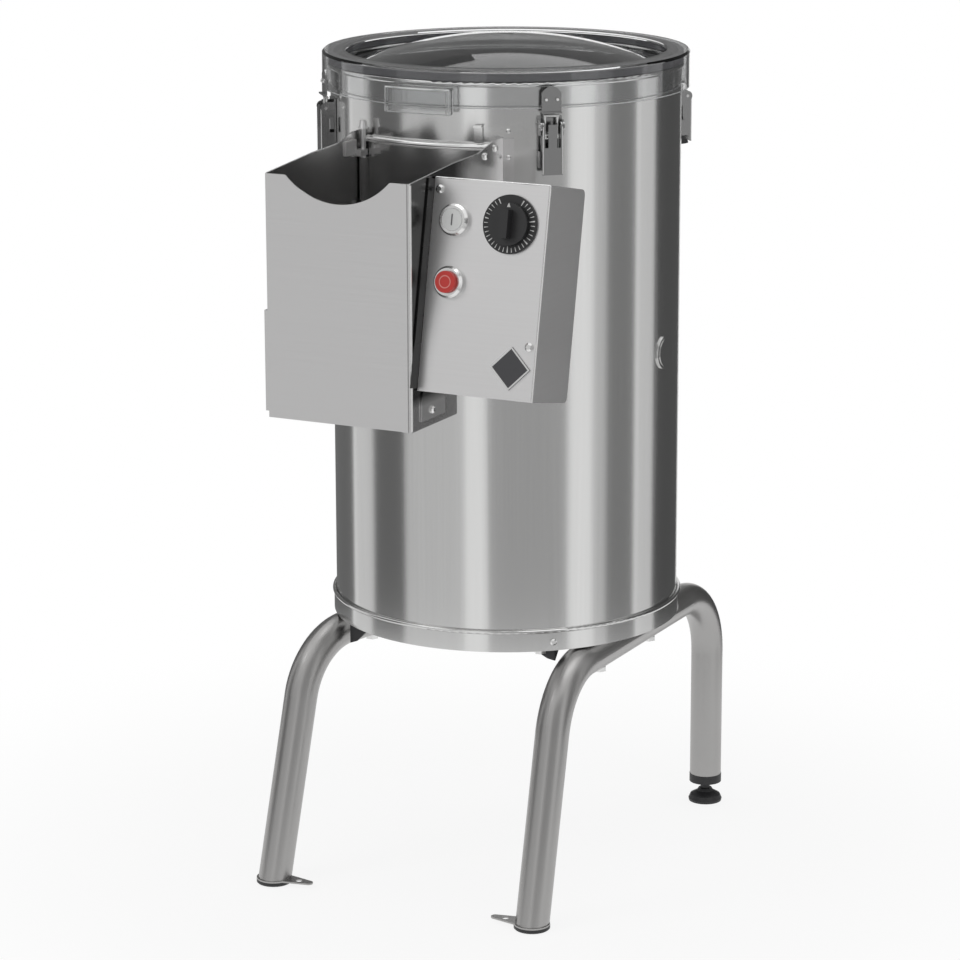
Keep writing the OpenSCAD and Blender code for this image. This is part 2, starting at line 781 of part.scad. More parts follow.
module latch_bases() {
    color("lightgray") for (i = [0 : 3]) at_latch(i) {
        translate([drum_r, -12, pivot_z - 43]) cube([1.8, 24, 52]);
        for (side = [-1, 1]) difference() {
            union() {
                translate([drum_r + 1, side * 11 - 0.75, pivot_z - 9]) cube([9, 1.5, 15]);
                translate([pivot_r, side * 11 + 0.75, pivot_z]) rotate([90, 0, 0]) cylinder(r = 5, h = 1.5);
                translate([drum_r + 1, side * 11 - 0.75, pivot_z - 40]) cube([7, 1.5, 16]);
            }
            translate([pivot_r, 16, pivot_z]) rotate([90, 0, 0]) cylinder(r = 1.5, h = 32, $fn = 24);
        }
    }
}

module latch_pins() {
    color("silver") for (i = [0 : 3]) at_latch(i)
        for (y = [12.4, -8]) translate([pivot_r, y, pivot_z]) rotate([90, 0, 0])
            cylinder(r = 1.5, h = 4.4, $fn = 24);
}

// Lever: a plate on two flanges, with a slot for each of the bail's wires to pass as it opens
module latch_lever(i) {
    slot_drop = 20;
    slot_w = 3.4;
    color("lightgray") at_latch(i) {
        difference() {
            union() {
                translate([pivot_r + 3.4, -9.8, pivot_z - 46]) cube([1.6, 19.6, 48]);
                for (side = [-1, 1]) {
                    translate([pivot_r - 4, side * 9 - 0.8, pivot_z - 40]) cube([8.6, 1.6, 40]);
                    translate([pivot_r, side * 9 + 0.8, pivot_z]) rotate([90, 0, 0])
                        cylinder(r = 4.6, h = 1.6);
                }
            }
            translate([pivot_r, 16, pivot_z]) rotate([90, 0, 0]) cylinder(r = 1.56, h = 32, $fn = 24);
            for (side = [-1, 1])
                translate([pivot_r + 2, side * wire_y - slot_w / 2, pivot_z - slot_drop])
                    cube([5, slot_w, slot_drop + 5]);
        }
        translate([bail_r, 9, bail_z]) rotate([90, 0, 0]) cylinder(r = 1.5, h = 18, $fn = 24);
    }
}

// Wire bail: a sleeve on the lever's cross pin, two side wires and the hook bar
module latch_bail(i) {
    side_h = bar_z - bail_z;
    color("silver") at_latch(i) difference() {
        union() {
            translate([bail_r, 7.6, bail_z]) rotate([90, 0, 0]) cylinder(r = 2.6, h = 15.2, $fn = 32);
            for (side = [-1, 1])
                translate([bail_r, side * wire_y, bail_z]) cylinder(r = 1.3, h = side_h, $fn = 24);
            translate([bail_r, 7.6, bar_z]) rotate([90, 0, 0]) cylinder(r = 1.6, h = 15.2, $fn = 24);
        }
        translate([bail_r, 10, bail_z]) rotate([90, 0, 0]) cylinder(r = 1.56, h = 20, $fn = 24);
    }
}

// ---- stand ----

// A leg in the plane of Y and Z: bend from the level tube, then a straight run to the floor
module leg(lean, top_y, low_z, r, past) {
    drop = tube_z - bend_r + bend_r * sin(lean);
    translate([0, top_y, tube_z - bend_r]) rotate([0, -90, 0]) mirror([0, 1, 0])
        rotate_extrude(angle = 90 - lean, $fn = 96) translate([bend_r, 0]) circle(r = r, $fn = 48);
    translate([0, top_y - bend_r * cos(lean), drop]) rotate([180 - lean, 0, 0])
        translate([0, 0, -bend_lap])
            cylinder(r = r - bend_swell, h = (drop - low_z) / cos(lean) + bend_lap + past);
}

// Where a leg's bend must start for its foot to stand at a distance from the axis
function bend_start(lean, reach) = reach - bend_r * cos(lean)
    - tan(lean) * (tube_z - bend_r + bend_r * sin(lean));

// Front leg, level run and rear leg as one bent bar of radius r, its ends lengthened by past
module right_bar(r, past) {
    front_y = bend_start(front_lean, foot_front);
    rear_y = bend_start(0, foot_rear);
    translate([stand_x, 0, 0]) {
        translate([0, -front_y - bend_lap, tube_z]) rotate([-90, 0, 0])
            cylinder(r = r - bend_swell, h = front_y + rear_y + 2 * bend_lap);
        leg(front_lean, -front_y, 0, r, past);
        rotate([0, 0, 180]) leg(0, -rear_y, foot_drop, r, past);
    }
}

module stand_right() {
    color("darkgray") at_axis() difference() {
        right_bar(tube_r, 0);
        right_bar(tube_r - tube_wall, 5);
        bolt_bores();
        under_tabs();
    }
}

// Everything below the top of the floor tabs, where the front legs end
module under_tabs() {
    translate([-200, -foot_front - 60, -40]) cube([400, 120, 40 + pad_h + tab_t]);
}

// Front-left leg and its run back under the drum as one bent bar, its ends lengthened by past
module left_bar(r, past) {
    front_y = bend_start(front_lean, foot_front);
    translate([-left_x, -foot_front, 0]) rotate([0, 0, -left_turn]) translate([0, foot_front, 0]) {
        translate([0, -front_y - bend_lap, tube_z]) rotate([-90, 0, 0])
            cylinder(r = r - bend_swell, h = front_y + 100 + bend_lap + past);
        leg(front_lean, -front_y, 0, r, past);
    }
}

// The only left leg is the front one; a cross tube ties its run to the right-hand tube
module stand_left() {
    color("darkgray") at_axis() difference() {
        union() {
            left_bar(tube_r, 0);
            translate([-110, 60, tube_z]) rotate([0, 90, 0]) cylinder(r = 15, h = 110 + stand_x);
        }
        left_bar(tube_r - tube_wall, 5);
        translate([stand_x, 0, tube_z]) rotate([-90, 0, 0])
            cylinder(r = tube_r + 0.1, h = 300, center = true);
        bolt_bores();
        under_tabs();
    }
}

module stand_bolts() {
    color("white") at_axis() {
        for (xy = bolt_at) translate([xy[0], xy[1], tube_z - tube_r - 4.5]) {
            cylinder(r = 7, h = 4.5, $fn = 6);
            cylinder(r = bolt_r, h = 2 * tube_r + 12);
        }
        at_ring_bolt() {
            translate([0, 0, base_h - 5]) cylinder(r = 6, h = 5, $fn = 6);
            translate([0, 0, base_h - 1]) cylinder(r = bolt_r, h = 8);
        }
    }
}

// The bolt through the base ring's flange alone
module at_ring_bolt() {
    rotate([0, 0, -52]) translate([166, 0, 0]) children();
}

// Holes for the bolts through the tubes, the base ring's flange and the bottom cover
module bolt_bores() {
    for (xy = bolt_at) translate([xy[0], xy[1], tube_z - tube_r - 5])
        cylinder(r = bolt_r + screw_play, h = 2 * tube_r + 14);
    at_ring_bolt() translate([0, 0, base_h - 2]) cylinder(r = bolt_r + screw_play, h = 10);
}

module tube_plugs() {
    color([0.12, 0.12, 0.12]) at_axis() {
        for (x = [-left_x, stand_x]) translate([x, -foot_front, 0]) front_pad();
        translate([stand_x, foot_rear, 0]) difference() {
            union() {
                translate([0, 0, foot_drop - 9]) cylinder(r = tube_r + 0.3, h = 9);
                translate([0, 0, foot_drop - 9])
                    cylinder(r = tube_r - tube_wall - 2 * bend_swell, h = 34);
            }
            translate([0, 0, foot_drop - 14]) cylinder(r = 5.06, h = 60);
        }
    }
}

module front_pad() {
    rotate_extrude($fn = 64) polygon([[0, 0], [pad_r - 1, 0], [pad_r, 1], [pad_r, pad_h], [0, pad_h]]);
}

// Flat tabs over the front pads, narrowing to a round tip, with a hole for a floor screw
module floor_tabs() {
    tip_r = 4.5;
    color("gray") at_axis() for (foot = [[-left_x, 1], [stand_x, -1]])
        translate([foot[0], -foot_front, pad_h]) difference() {
            union() {
                cylinder(r = tube_r + 1, h = tab_t);
                linear_extrude(tab_t) polygon([[0, -13], [foot[1] * tab_reach, -tip_r],
                                               [foot[1] * tab_reach, tip_r], [0, 13]]);
                translate([foot[1] * tab_reach, 0, 0]) cylinder(r = tip_r, h = tab_t);
            }
            translate([foot[1] * 29, 0, -1]) cylinder(r = 3.5, h = tab_t + 2);
        }
}

module levelling_foot() {
    color([0.12, 0.12, 0.12]) at_axis() translate([stand_x, foot_rear, 0]) {
        rotate_extrude($fn = 64) polygon([[0, 0], [17.5, 0], [18, 2.5], [16, 7], [9, 11], [7, 14], [0, 14]]);
        translate([0, 0, 10]) cylinder(r = 5, h = 56);
    }
}

drum_shell();
base_ring();
rim_gasket();
abrasive_liner();
chamber_floor();
bearing_housing();
bearings();
shaft_seal();
motor_plate();
motor_housing();
terminal_box();
drive_belt();
bottom_cover();
drain_outlet();
inlet_plate();
inlet_elbow();
side_plug();
cable_gland();
chute();
panel_screws();
hinge_bracket();
door_seal();
box_bracket();
box_back();
box_cover();
badge_plate();
button_bezels();
contact_blocks();
timer_dial();
timer_body();
wire_conduit();
latch_bases();
latch_pins();
stand_right();
stand_left();
stand_bolts();
tube_plugs();
floor_tabs();
main_shaft();
peeling_disc();
disc_nut();
large_pulley();
motor_shaft();
small_pulley();
lid_shell();
lid_grip();
lid_strikes();
discharge_door();
start_button();
stop_button();
timer_knob();
levelling_foot();
latch_lever(0);  // latch_lever_1
latch_lever(1);  // latch_lever_2
latch_lever(2);  // latch_lever_3
latch_lever(3);  // latch_lever_4
latch_bail(0);  // latch_bail_1
latch_bail(1);  // latch_bail_2
latch_bail(2);  // latch_bail_3
latch_bail(3);  // latch_bail_4
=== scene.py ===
import bpy
import math
from mathutils import Matrix, Vector


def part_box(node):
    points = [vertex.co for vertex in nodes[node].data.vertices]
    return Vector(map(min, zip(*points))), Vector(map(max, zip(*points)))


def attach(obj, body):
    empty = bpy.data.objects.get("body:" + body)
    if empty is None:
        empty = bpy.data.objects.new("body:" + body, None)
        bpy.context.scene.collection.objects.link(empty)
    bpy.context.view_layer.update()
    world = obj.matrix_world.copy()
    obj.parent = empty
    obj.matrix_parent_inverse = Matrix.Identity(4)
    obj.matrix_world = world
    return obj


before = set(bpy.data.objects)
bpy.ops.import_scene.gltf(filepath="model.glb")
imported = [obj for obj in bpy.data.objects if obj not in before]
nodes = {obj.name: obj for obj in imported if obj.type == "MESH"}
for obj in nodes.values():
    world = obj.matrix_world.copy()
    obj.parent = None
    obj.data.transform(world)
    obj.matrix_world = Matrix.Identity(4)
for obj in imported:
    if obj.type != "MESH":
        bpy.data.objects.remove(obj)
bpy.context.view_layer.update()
scene = bpy.context.scene
scene.view_settings.view_transform = "Standard"
bpy.ops.object.select_all(action="DESELECT")


# ---- Camera ----
# The photograph was taken from the front right, a little above the lid, with a long lens.
# The box of the round chamber floor gives the drum's axis, which the camera is set round.
chamber_lo, chamber_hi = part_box("chamber_floor")
axis_at = Vector(((chamber_lo.x + chamber_hi.x) / 2, (chamber_lo.y + chamber_hi.y) / 2, 0))
view_turn = math.radians(26.5)
view_reach = 3.49
view_height = 1.26
view_pitch = 0.2441
view_yaw = -0.0078
view_roll = -0.003
sensor = 36.0
focal_px = 3510.0
photo_px = 960.0

cam_data = bpy.data.cameras.new("camera")
cam = bpy.data.objects.new("camera", cam_data)
scene.collection.objects.link(cam)
cam_data.sensor_width = sensor
cam_data.lens = focal_px / photo_px * sensor
cam_data.clip_start = 0.1
cam_data.clip_end = 60
heading = view_turn - view_yaw
aim = Vector((-math.sin(heading) * math.cos(view_pitch), math.cos(heading) * math.cos(view_pitch),
              -math.sin(view_pitch)))
cam.location = axis_at + Vector((view_reach * math.sin(view_turn), -view_reach * math.cos(view_turn),
                                 view_height))
cam.rotation_mode = "QUATERNION"
cam.rotation_quaternion = aim.to_track_quat("-Z", "Y") @ Matrix.Rotation(view_roll, 4, "Z").to_quaternion()
scene.camera = cam


# ---- Floor and light ----
# A pale studio: the world is white to the camera, to reflections and through the lid, and a
# plain grey level to matt surfaces. Grey cards stand round the object, hidden from the
# camera itself, and the polished steel shows them as darker upright bands.
def seen_rays(tree):
    """1 for what the camera sees, straight, in a reflection or through the lid, and 0 for all other light."""
    path = tree.nodes.new("ShaderNodeLightPath")
    seen = path.outputs["Is Camera Ray"]
    for kind in ("Is Glossy Ray", "Is Transmission Ray"):
        either = tree.nodes.new("ShaderNodeMath")
        either.operation = "MAXIMUM"
        tree.links.new(seen, either.inputs[0])
        tree.links.new(path.outputs[kind], either.inputs[1])
        seen = either.outputs[0]
    return seen


def studio_world(matt_level):
    world = bpy.data.worlds.new("studio")
    scene.world = world
    world.use_nodes = True
    tree = world.node_tree
    tree.nodes.clear()
    matt = tree.nodes.new("ShaderNodeBackground")
    matt.inputs["Color"].default_value = (matt_level, matt_level, matt_level, 1)
    white = tree.nodes.new("ShaderNodeBackground")
    white.inputs["Color"].default_value = (1, 1, 1, 1)
    mix = tree.nodes.new("ShaderNodeMixShader")
    out = tree.nodes.new("ShaderNodeOutputWorld")
    link = tree.links.new
    link(seen_rays(tree), mix.inputs[0])
    link(matt.outputs[0], mix.inputs[1])
    link(white.outputs[0], mix.inputs[2])
    link(mix.outputs[0], out.inputs["Surface"])


def studio_card(name, bearing, spread, level, low=-1.2, high=2.8, reach=2.4):
    """An upright grey card: its bearing to the right of the camera and its spread, both in degrees."""
    wide = 2 * reach * math.tan(math.radians(spread / 2))
    bpy.ops.mesh.primitive_plane_add(size=1)
    card = bpy.context.object
    card.name = name
    turn = view_turn - math.pi / 2 + math.radians(bearing)
    card.matrix_world = (Matrix.Translation(axis_at) @ Matrix.Rotation(turn, 4, "Z")
                         @ Matrix.Translation((reach, 0, (low + high) / 2))
                         @ Matrix.Rotation(math.radians(90), 4, "Y")
                         @ Matrix.Diagonal((high - low, wide, 1, 1)))
    bpy.ops.object.transform_apply(location=True, rotation=True, scale=True)
    mat = bpy.data.materials.new(name)
    mat.use_nodes = True
    tree = mat.node_tree
    tree.nodes.clear()
    glow = tree.nodes.new("ShaderNodeEmission")
    glow.inputs["Color"].default_value = (level, level, level, 1)
    out = tree.nodes.new("ShaderNodeOutputMaterial")
    tree.links.new(glow.outputs[0], out.inputs["Surface"])
    card.data.materials.append(mat)
    card.visible_camera = False
    card.visible_diffuse = False
    card.visible_shadow = False


def softbox(name, place, aim_at, size, power):
    data = bpy.data.lights.new(name, "AREA")
    data.shape = "RECTANGLE"
    data.size, data.size_y = size
    data.energy = power
    lamp = bpy.data.objects.new(name, data)
    scene.collection.objects.link(lamp)
    lamp.location = place
    lamp.rotation_mode = "QUATERNION"
    lamp.rotation_quaternion = (Vector(aim_at) - Vector(place)).to_track_quat("-Z", "Y")


studio_world(0.55)
studio_card("card_back_left", -148, 54, 0.16)
studio_card("card_left_rim", -107, 20, 0.74)
studio_card("card_left_dark", -83, 28, 0.16)
studio_card("card_left_pale", -48, 42, 0.64)
studio_card("card_front", 14, 51, 0.43)
studio_card("card_right_pale", 62, 10, 0.62)
studio_card("card_right_dark", 79, 24, 0.24)
studio_card("card_right_rim", 102, 15, 0.72)
studio_card("card_back_right", 136, 50, 0.09)
studio_card("card_over_lid", 180, 100, 0.20, low=1.0, high=2.3)
softbox("key_light", (-1.6, -2.2, 2.4), (0, 0, 0.5), (1.2, 1.6), 14)
softbox("fill_light", (2.4, -1.6, 1.6), (0, 0, 0.5), (1.0, 1.8), 4)
softbox("top_light", (0.2, 0.4, 3.0), (0, 0, 0.6), (1.8, 1.8), 10)

floor_r = 0.95
floor_drop = 0.0005
bpy.ops.mesh.primitive_circle_add(vertices=96, radius=floor_r, fill_type="NGON", location=(0, 0, -floor_drop))
floor = bpy.context.object
floor.name = "floor"
bpy.ops.object.transform_apply(location=True, rotation=True, scale=True)


def floor_white():
    """Matt white that keeps the object's shadow, and fades into the white world at its edge."""
    mat = bpy.data.materials.new("floor_white")
    mat.use_nodes = True
    tree = mat.node_tree
    bsdf = tree.nodes["Principled BSDF"]
    bsdf.inputs["Base Color"].default_value = (0.92, 0.92, 0.92, 1)
    bsdf.inputs["Roughness"].default_value = 0.9
    coords = tree.nodes.new("ShaderNodeTexCoord")
    reach = tree.nodes.new("ShaderNodeVectorMath")
    reach.operation = "LENGTH"
    fade = tree.nodes.new("ShaderNodeMapRange")
    fade.interpolation_type = "SMOOTHSTEP"
    fade.inputs["From Min"].default_value = 0.30
    fade.inputs["From Max"].default_value = floor_r * 0.9
    fade.inputs["To Min"].default_value = 0.86
    fade.inputs["To Max"].default_value = 1.0
    whiten = tree.nodes.new("ShaderNodeMath")
    whiten.operation = "MULTIPLY"
    glow = tree.nodes.new("ShaderNodeEmission")
    glow.inputs["Color"].default_value = (1, 1, 1, 1)
    mix = tree.nodes.new("ShaderNodeMixShader")
    link = tree.links.new
    link(coords.outputs["Object"], reach.inputs[0])
    link(reach.outputs["Value"], fade.inputs["Value"])
    link(seen_rays(tree), whiten.inputs[0])
    link(fade.outputs[0], whiten.inputs[1])
    link(whiten.outputs[0], mix.inputs[0])
    link(bsdf.outputs[0], mix.inputs[1])
    link(glow.outputs[0], mix.inputs[2])
    link(mix.outputs[0], tree.nodes["Material Output"].inputs["Surface"])
    return mat


floor.data.materials.append(floor_white())


# ---- Drum ----
# Rolled stainless sheet with an upright brushed grain, a rolled rim and a base ring.
# The grain and a slightly cloudy finish are one node group, which every metal here uses
# and the mouldings too, each with its own values.
def steel_group():
    group = bpy.data.node_groups.new("sheet_finish", "ShaderNodeTree")
    face = group.interface
    face.new_socket("Vector", in_out="INPUT", socket_type="NodeSocketVector")
    for name, start in (("Grain", 0.02), ("Roughness", 0.25), ("Cloud", 0.06)):
        face.new_socket(name, in_out="INPUT", socket_type="NodeSocketFloat").default_value = start
    face.new_socket("Tone", in_out="OUTPUT", socket_type="NodeSocketFloat")
    face.new_socket("Roughness", in_out="OUTPUT", socket_type="NodeSocketFloat")
    face.new_socket("Height", in_out="OUTPUT", socket_type="NodeSocketFloat")
    into = group.nodes.new("NodeGroupInput")
    out = group.nodes.new("NodeGroupOutput")
    grain = group.nodes.new("ShaderNodeTexNoise")
    grain.inputs["Scale"].default_value = 1
    grain.inputs["Detail"].default_value = 3
    cloud = group.nodes.new("ShaderNodeTexNoise")
    cloud.inputs["Scale"].default_value = 0.02
    cloud.inputs["Detail"].default_value = 2
    tone = group.nodes.new("ShaderNodeMath")
    tone.operation = "MULTIPLY"
    soft = group.nodes.new("ShaderNodeMath")
    soft.operation = "MULTIPLY_ADD"
    link = group.links.new
    link(into.outputs["Vector"], grain.inputs["Vector"])
    link(into.outputs["Vector"], cloud.inputs["Vector"])
    link(grain.outputs[0], tone.inputs[0])
    link(into.outputs["Grain"], tone.inputs[1])
    link(cloud.outputs[0], soft.inputs[0])
    link(into.outputs["Cloud"], soft.inputs[1])
    link(into.outputs["Roughness"], soft.inputs[2])
    link(tone.outputs[0], out.inputs["Tone"])
    link(soft.outputs[0], out.inputs["Roughness"])
    link(grain.outputs[0], out.inputs["Height"])
    return group


sheet_finish = steel_group()


def metal(name, base, rough, stretch, grain=0.10, cloud=0.08, bump=0.02, metallic=1.0):
    """A surface with the shared finish: stretch is the grain's scale along X, Y and Z."""
    mat = bpy.data.materials.new(name)
    mat.use_nodes = True
    tree = mat.node_tree
    bsdf = tree.nodes["Principled BSDF"]
    bsdf.inputs["Metallic"].default_value = metallic
    coords = tree.nodes.new("ShaderNodeTexCoord")
    place = tree.nodes.new("ShaderNodeMapping")
    place.inputs["Scale"].default_value = stretch
    finish = tree.nodes.new("ShaderNodeGroup")
    finish.node_tree = sheet_finish
    finish.inputs["Grain"].default_value = grain
    finish.inputs["Roughness"].default_value = rough
    finish.inputs["Cloud"].default_value = cloud
    grain_shade = 0.55
    tint = tree.nodes.new("ShaderNodeMix")
    tint.data_type = "RGBA"
    tint.inputs[6].default_value = (*base, 1)
    tint.inputs[7].default_value = (*[part * grain_shade for part in base], 1)
    relief = tree.nodes.new("ShaderNodeBump")
    relief.inputs["Strength"].default_value = bump
    relief.inputs["Distance"].default_value = 0.0004
    link = tree.links.new
    link(coords.outputs["Object"], place.inputs["Vector"])
    link(place.outputs[0], finish.inputs["Vector"])
    link(finish.outputs["Tone"], tint.inputs[0])
    link(tint.outputs[2], bsdf.inputs["Base Color"])
    link(finish.outputs["Roughness"], bsdf.inputs["Roughness"])
    link(finish.outputs["Height"], relief.inputs["Height"])
    link(relief.outputs[0], bsdf.inputs["Normal"])
    return mat


def finish_nodes(mat, *names):
    """Give the CAD nodes of these names their material."""
    for name in names:
        mesh = nodes[name].data
        mesh.materials.clear()
        mesh.materials.append(mat)


drum_steel = metal("drum_steel", (0.68, 0.68, 0.675), 0.13, (420, 420, 5), grain=0.14, cloud=0.05, bump=0.03)
finish_nodes(drum_steel, "drum_shell", "base_ring", "chamber_floor", "bottom_cover", "drain_outlet",
             "side_plug")


# ---- Chute, door and control box sheet ----
# Folded and riveted sheet with a satin face, plainer than the drum: its finer grain runs
# across. The chute and its door are smoother than the control box.
panel_steel = metal("panel_steel", (0.74, 0.735, 0.735), 0.33, (6, 6, 520), grain=0.10, bump=0.06)
finish_nodes(panel_steel, "box_back", "box_cover", "hinge_bracket")
chute_steel = metal("chute_steel", (0.72, 0.715, 0.715), 0.17, (6, 6, 520), grain=0.10, bump=0.04)
finish_nodes(chute_steel, "chute")


def shaded_past(mat, dark, *edges):
    """Paint shade into a steel's colour past soft edges, each an axis, a start and an end on that axis."""
    tree = mat.node_tree
    bsdf = tree.nodes["Principled BSDF"]
    coords = tree.nodes.new("ShaderNodeTexCoord")
    parts = tree.nodes.new("ShaderNodeSeparateXYZ")
    tree.links.new(coords.outputs["Object"], parts.inputs[0])
    # painted shade: the steel's colour is mixed towards the dark level inside the edges
    painted_shade = tree.nodes.new("ShaderNodeMix")
    painted_shade.data_type = "RGBA"
    painted_shade.inputs[7].default_value = (dark, dark, dark, 1)
    share = None
    for axis, start, end in edges:
        edge = tree.nodes.new("ShaderNodeMapRange")
        edge.inputs["From Min"].default_value = start
        edge.inputs["From Max"].default_value = end
        tree.links.new(parts.outputs[axis], edge.inputs["Value"])
        if share is None:
            share = edge.outputs[0]
        else:
            both = tree.nodes.new("ShaderNodeMath")
            both.operation = "MULTIPLY"
            tree.links.new(share, both.inputs[0])
            tree.links.new(edge.outputs[0], both.inputs[1])
            share = both.outputs[0]
    steel = bsdf.inputs["Base Color"].links[0].from_socket
    tree.links.new(share, painted_shade.inputs[0])
    tree.links.new(steel, painted_shade.inputs[6])
    tree.links.new(painted_shade.outputs[2], bsdf.inputs["Base Color"])


# Painted shade: the chute's outer wall and the plate between chute and box are darkened beside the box, where
# the narrow gap between them shows dark, and keep their bare steel colour below
chute_half, chute_front, chute_low, chute_high = 0.076, -0.347, 0.521, 0.752
bracket_steel = metal("bracket_steel", (0.70, 0.695, 0.695), 0.24, (6, 6, 520), bump=0.04)
box_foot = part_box("box_cover")[0].z
above_foot = ("Z", box_foot - 0.004, box_foot + 0.006)
wall_out = axis_at.x + chute_half
shaded_past(bracket_steel, 0.07, above_foot)
shaded_past(chute_steel, 0.10, ("X", wall_out - 0.0003, wall_out - 0.0001), above_foot,
            ("Y", axis_at.y - 0.23, axis_at.y - 0.26))
finish_nodes(bracket_steel, "box_bracket")
door_steel = metal("door_steel", (0.76, 0.76, 0.755), 0.15, (6, 6, 420), grain=0.08, bump=0.04)
finish_nodes(door_steel, "discharge_door")


def settle(piece, mat, body, place=None, bevel=0.0):
    """Finish a piece: put it in its place, round its edges, name its finish and what it moves with."""
    bpy.ops.object.select_all(action="DESELECT")
    piece.select_set(True)
    bpy.context.view_layer.objects.active = piece
    if place is not None:
        piece.matrix_world = place @ piece.matrix_world
    bpy.ops.object.transform_apply(location=True, rotation=True, scale=True)
    if bevel:
        mod = piece.modifiers.new("round", "BEVEL")
        mod.width, mod.segments, mod.limit_method = bevel, 2, "ANGLE"
        bpy.ops.object.modifier_apply(modifier="round")
    bpy.ops.object.shade_smooth_by_angle(angle=math.radians(35))
    piece.data.materials.clear()
    piece.data.materials.append(mat)
    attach(piece, body)
    piece.select_set(False)


def pick_verts(mesh, test):
    """Select the corners that pass a test on their place, in edit mode."""
    bpy.ops.object.mode_set(mode="OBJECT")
    for item in (*mesh.polygons, *mesh.edges):
        item.select = False
    for vert in mesh.vertices:
        vert.select = test(vert.co)
    bpy.ops.object.mode_set(mode="EDIT")
    bpy.ops.mesh.select_mode(type="VERT")


def fold_line(name, mat, start, end, width, place=None, body="machine"):
    """A bent or hemmed edge, or a rivet: a rod from start to end, drawn in at both of its ends."""
    start, end = Vector(start), Vector(end)
    bpy.ops.mesh.primitive_cylinder_add(vertices=16, radius=width, depth=(end - start).length)
    rod = bpy.context.object
    rod.name = name
    half = (end - start).length / 2
    tip_share = 0.6
    bpy.ops.object.mode_set(mode="EDIT")
    for tip in (-half, half):
        pick_verts(rod.data, lambda at: abs(at.z - tip) < width / 2)
        bpy.ops.transform.resize(value=(tip_share, tip_share, 1), center_override=(0, 0, tip))
    bpy.ops.object.mode_set(mode="OBJECT")
    rod.rotation_mode = "QUATERNION"
    rod.rotation_quaternion = (end - start).to_track_quat("Z", "Y")
    rod.location = (start + end) / 2
    bpy.context.view_layer.update()
    settle(rod, mat, body, place)


# Rods along the chute's rounded corner and its hemmed upper edges, from its front to the drum, in a paler,
# glossier steel than the chute: painted highlight on the folds
fold_highlight_steel = metal("fold_highlight_steel", (0.86, 0.86, 0.855), 0.12, (300, 300, 300), grain=0.06)
drum_frame = Matrix.Translation(axis_at)
corner_x, corner_y = chute_half - 0.0008, chute_front + 0.0009
fold_line("chute_corner", fold_highlight_steel, (corner_x, corner_y, chute_low + 0.001),
          (corner_x, corner_y, chute_high - 0.001), 0.0020, drum_frame)
hem_x = chute_half - 0.00075
hem_points = ((-0.3465, 0.7521), (-0.262, 0.7591), (-0.212, 0.7611))
for side, name in ((-1, "chute_hem_left"), (1, "chute_hem_right")):
    for step, (near, far) in enumerate(zip(hem_points, hem_points[1:])):
        fold_line(f"{name}_{step + 1}", fold_highlight_steel, (side * hem_x, *near),
                  (side * hem_x, *far), 0.0011, drum_frame)


# ---- Stand ----
# Bent tube in a matt silver-grey finish, with flat tabs of the same grey over the front feet.
# Two flat black triangles sit under the base ring where the front legs turn down.
tube_grey = metal("tube_grey", (0.40, 0.395, 0.39), 0.30, (900, 900, 900), grain=0.12, bump=0.10)
finish_nodes(tube_grey, "stand_right", "stand_left", "floor_tabs")

# Each gusset is a triangle of folded sheet that faces the front, flanged along its top
# where it is riveted under the ring
gusset_sheet, gusset_gap, flange_fold, flange_reach = 0.002, 0.0003, 0.0018, 0.010
corner_in, corner_up = 0.72, 0.12
black_steel = metal("black_steel", (0.02, 0.02, 0.022), 0.45, (300, 300, 300), metallic=0.0)
ring_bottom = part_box("base_ring")[0].z


def gusset(name, corner, along, drop):
    """A triangle from its square corner under the ring, along X and down, with a folded flange."""
    bpy.ops.mesh.primitive_cube_add(size=1, location=(along / 2, 0, -drop / 2))
    plate = bpy.context.object
    plate.name = name
    plate.scale = (abs(along), gusset_sheet, drop)
    bpy.ops.object.transform_apply(location=True, rotation=True, scale=True)
    bpy.ops.object.mode_set(mode="EDIT")
    pick_verts(plate.data, lambda at: at.z < -drop / 2 and abs(at.x) > abs(along) / 2)
    bpy.ops.transform.translate(value=(-along * corner_in, 0, drop * corner_up))
    pick_verts(plate.data, lambda at: at.z > -drop * 0.5 and at.y > 0)
    bpy.ops.mesh.extrude_region_move(TRANSFORM_OT_translate={"value": (0, 0, -flange_fold)})
    pick_verts(plate.data, lambda at: at.z > -1.5 * flange_fold and at.y > 0)
    bpy.ops.transform.translate(value=(0, flange_reach, 0))
    bpy.ops.object.mode_set(mode="OBJECT")
    settle(plate, black_steel, "machine", Matrix.Translation(corner), bevel=0.0004)


gusset("gusset_left", axis_at + Vector((-0.1145, -0.1265, ring_bottom - gusset_gap)), 0.028, 0.024)
gusset("gusset_right", axis_at + Vector((0.1165, -0.1265, ring_bottom - gusset_gap)), -0.030, 0.012)


# ---- Bright fittings ----
# Polished and turned steel: latches, strikes, bezels, screws, plates and shafts, with the
# cast housing and pulleys on the shafts. The latch plates are darker than their wires.
bright_steel = metal("bright_steel", (0.78, 0.78, 0.775), 0.16, (300, 300, 300), grain=0.10, bump=0.02)
finish_nodes(bright_steel, "latch_pins", "button_bezels", "disc_nut", "panel_screws", "stand_bolts",
             "inlet_plate", *[f"latch_bail_{i}" for i in range(1, 5)])
latch_steel = metal("latch_steel", (0.40, 0.40, 0.40), 0.14, (300, 300, 300), grain=0.10, bump=0.02)
finish_nodes(latch_steel, "latch_bases", "lid_strikes", *[f"latch_lever_{i}" for i in range(1, 5)])
